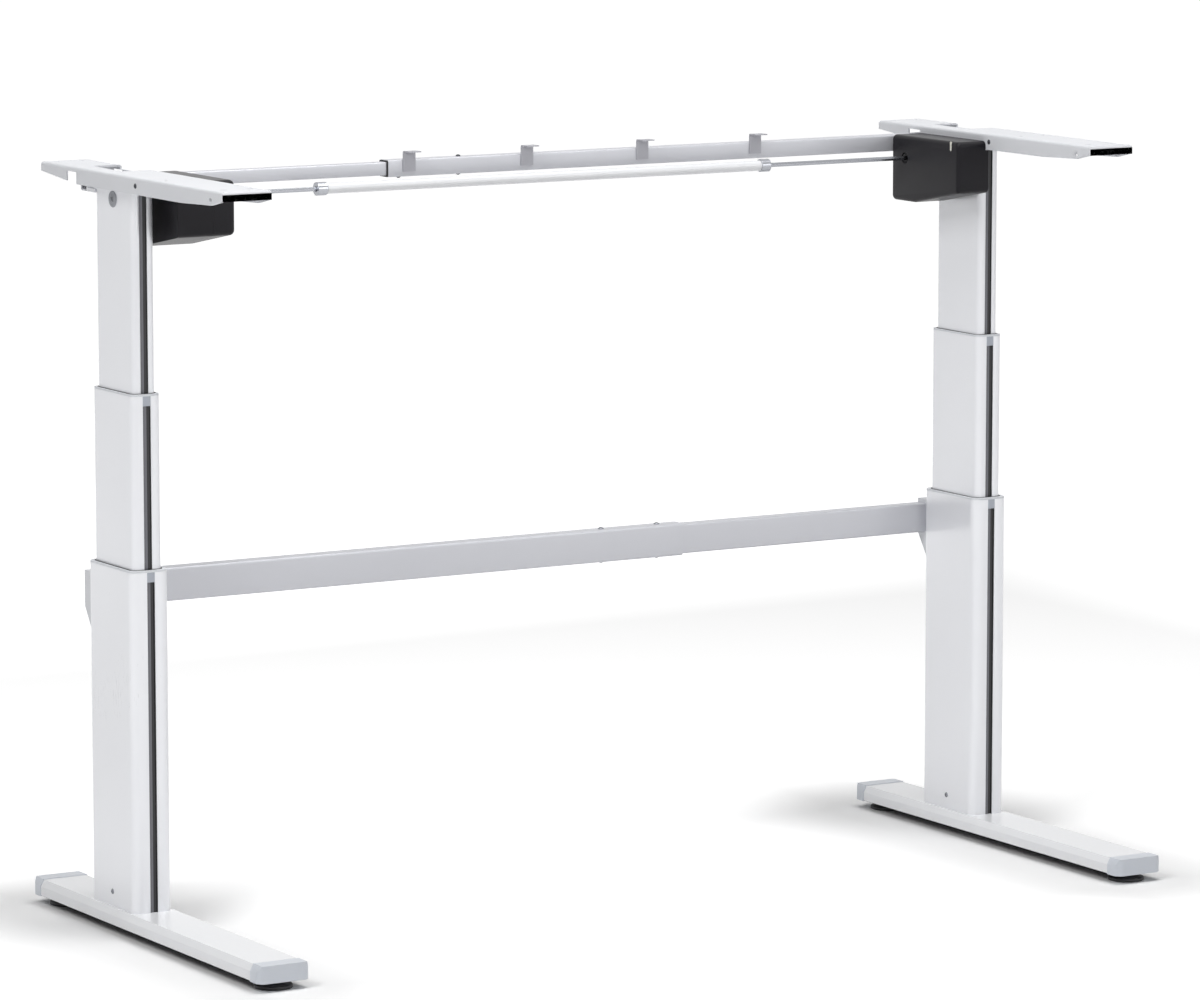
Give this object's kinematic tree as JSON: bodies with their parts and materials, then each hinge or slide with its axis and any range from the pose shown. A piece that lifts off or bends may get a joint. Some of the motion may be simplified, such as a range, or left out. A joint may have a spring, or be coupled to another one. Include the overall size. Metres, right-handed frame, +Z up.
{
  "type": "standing desk frame",
  "caption": "Height-adjustable desk frame: three-stage lifting columns on flat feet, telescoping cross bars, a shared drive shaft and worktop brackets.",
  "frame": {"origin": "on the floor in the middle of the footprint", "axes": "+X from the left column to the right column, +Y to the rear, +Z up"},
  "size_m": [1.69, 0.8, 1.2186],
  "materials": {
    "coated_extrusion": "satin pale silver coating over an aluminium extrusion",
    "foot_white": "semi-gloss white coating over an aluminium extrusion",
    "cap_grey": "pale blue-grey moulded plastic, fine texture",
    "glide_black": "black moulded disc",
    "collar_grey": "light grey moulded plastic",
    "strip_black": "black flexible strip",
    "screw_steel": "zinc plated steel",
    "bare_steel": "oiled steel",
    "bracket_paint": "satin pale grey powder coat",
    "bar_paint": "satin silver-grey powder coat",
    "cover_black": "black moulded plastic, fine spark texture",
    "motor_can": "dark motor can",
    "pad_plastic": "natural slide plastic",
    "bush_grey": "grey moulded plastic",
    "tube_white": "gloss white coating",
    "rod_chrome": "bright hex bar"
  },
  "bodies": {
    "base_left": {"left_foot_rail": "foot_white", "left_foot_caps": "cap_grey", "left_outer_tube": "coated_extrusion", "left_outer_collar": "collar_grey", "left_outer_strips": "strip_black", "left_lower_screw": "bare_steel", "left_base_fasteners": "screw_steel", "left_hanger": "bracket_paint", "lower_bar_sleeve": "bar_paint"},
    "base_right": {"right_foot_rail": "foot_white", "right_foot_caps": "cap_grey", "right_outer_tube": "coated_extrusion", "right_outer_collar": "collar_grey", "right_outer_strips": "strip_black", "right_lower_screw": "bare_steel", "right_base_fasteners": "screw_steel", "right_hanger": "bracket_paint", "lower_bar_slide": "bar_paint"},
    "glide_left_rear": {"left_rear_glide": "glide_black"},
    "glide_left_front": {"left_front_glide": "glide_black"},
    "glide_right_rear": {"right_rear_glide": "glide_black"},
    "glide_right_front": {"right_front_glide": "glide_black"},
    "mid_left": {"left_mid_tube": "coated_extrusion", "left_mid_collar": "collar_grey", "left_mid_strips": "strip_black", "left_mid_pads": "pad_plastic"},
    "top_left": {"left_inner_tube": "coated_extrusion", "left_inner_strips": "strip_black", "left_inner_pads": "pad_plastic", "left_top_bracket": "bracket_paint", "left_head_screws": "screw_steel", "left_gear_cover": "cover_black", "left_cross_bush": "bush_grey", "left_motor_cover": "cover_black", "left_motor": "motor_can", "upper_bar_rod": "bar_paint"},
    "mid_screw_left": {"left_screw_tube": "bare_steel"},
    "top_screw_left": {"left_top_screw": "bare_steel"},
    "gear_left": {"left_gear_shaft": "bare_steel"},
    "mid_right": {"right_mid_tube": "coated_extrusion", "right_mid_collar": "collar_grey", "right_mid_strips": "strip_black", "right_mid_pads": "pad_plastic"},
    "top_right": {"right_inner_tube": "coated_extrusion", "right_inner_strips": "strip_black", "right_inner_pads": "pad_plastic", "right_top_bracket": "bracket_paint", "right_head_screws": "screw_steel", "right_gear_cover": "cover_black", "right_cross_bush": "bush_grey", "upper_bar_tube": "bar_paint", "bar_clips": "bracket_paint"},
    "mid_screw_right": {"right_screw_tube": "bare_steel"},
    "top_screw_right": {"right_top_screw": "bare_steel"},
    "gear_right": {"right_gear_shaft": "bare_steel"},
    "shaft_left": {"left_drive_rod": "rod_chrome", "shaft_tube": "tube_white", "shaft_collars": "screw_steel"},
    "shaft_right": {"right_drive_rod": "rod_chrome"}
  },
  "joints": [
    {"name": "lift", "type": "slide", "parent": "base_left", "child": "mid_left", "axis": [0, 0, 1], "range_m": [-0.255, 0.03]},
    {"name": "width", "type": "slide", "parent": "base_left", "child": "base_right", "axis": [1, 0, 0], "range_m": [-0.25, 0.1]},
    {"name": "left_top_lift", "type": "slide", "parent": "mid_left", "child": "top_left", "axis": [0, 0, 1], "range_m": [-0.257, 0.032]},
    {"name": "right_mid_lift", "type": "slide", "parent": "base_right", "child": "mid_right", "axis": [0, 0, 1], "range_m": [-0.257, 0.032]},
    {"name": "right_top_lift", "type": "slide", "parent": "mid_right", "child": "top_right", "axis": [0, 0, 1], "range_m": [-0.257, 0.032]},
    {"name": "left_mid_screw_turn", "type": "hinge", "parent": "mid_left", "child": "mid_screw_left", "pos_m": [-0.8, 0.125, 0.6], "axis": [0, 0, 1], "range_deg": [-2300, 275]},
    {"name": "left_top_screw_turn", "type": "hinge", "parent": "top_left", "child": "top_screw_left", "pos_m": [-0.8, 0.125, 0.9], "axis": [0, 0, 1], "range_deg": [-4595, 545]},
    {"name": "left_cross_turn", "type": "hinge", "parent": "top_left", "child": "gear_left", "pos_m": [-0.8, 0.125, 1.174], "axis": [1, 0, 0], "range_deg": [-4595, 545]},
    {"name": "left_shaft_turn", "type": "hinge", "parent": "top_left", "child": "shaft_left", "pos_m": [-0.8, 0.172, 1.168], "axis": [1, 0, 0], "range_deg": [-647.9, 5469.3]},
    {"name": "right_mid_screw_turn", "type": "hinge", "parent": "mid_right", "child": "mid_screw_right", "pos_m": [0.8, 0.125, 0.6], "axis": [0, 0, 1], "range_deg": [-275, 2300]},
    {"name": "right_top_screw_turn", "type": "hinge", "parent": "top_right", "child": "top_screw_right", "pos_m": [0.8, 0.125, 0.9], "axis": [0, 0, 1], "range_deg": [-545, 4595]},
    {"name": "right_cross_turn", "type": "hinge", "parent": "top_right", "child": "gear_right", "pos_m": [0.8, 0.125, 1.174], "axis": [1, 0, 0], "range_deg": [-4595, 545]},
    {"name": "right_shaft_turn", "type": "hinge", "parent": "top_right", "child": "shaft_right", "pos_m": [0.8, 0.172, 1.168], "axis": [1, 0, 0], "range_deg": [-647.9, 5469.3]},
    {"name": "glide_left_rear_screw", "type": "slide", "parent": "base_left", "child": "glide_left_rear", "axis": [0, 0, -1], "range_m": [0, 0.01]},
    {"name": "glide_left_front_screw", "type": "slide", "parent": "base_left", "child": "glide_left_front", "axis": [0, 0, -1], "range_m": [0, 0.01]},
    {"name": "glide_right_rear_screw", "type": "slide", "parent": "base_right", "child": "glide_right_rear", "axis": [0, 0, -1], "range_m": [0, 0.01]},
    {"name": "glide_right_front_screw", "type": "slide", "parent": "base_right", "child": "glide_right_front", "axis": [0, 0, -1], "range_m": [0, 0.01]}
  ],
  "couplings": [
    {"joint": "left_top_lift", "follows": "lift", "ratio": 1},
    {"joint": "right_mid_lift", "follows": "lift", "ratio": 1},
    {"joint": "right_top_lift", "follows": "lift", "ratio": 1},
    {"joint": "left_mid_screw_turn", "follows": "lift", "rad_per_m": 157.08},
    {"joint": "left_top_screw_turn", "follows": "lift", "rad_per_m": 314.16},
    {"joint": "left_cross_turn", "follows": "lift", "rad_per_m": 314.16},
    {"joint": "left_shaft_turn", "follows": "lift", "rad_per_m": -374},
    {"joint": "right_mid_screw_turn", "follows": "lift", "rad_per_m": -157.08},
    {"joint": "right_top_screw_turn", "follows": "lift", "rad_per_m": -314.16},
    {"joint": "right_cross_turn", "follows": "lift", "rad_per_m": 314.16},
    {"joint": "right_shaft_turn", "follows": "lift", "rad_per_m": -374}
  ]
}
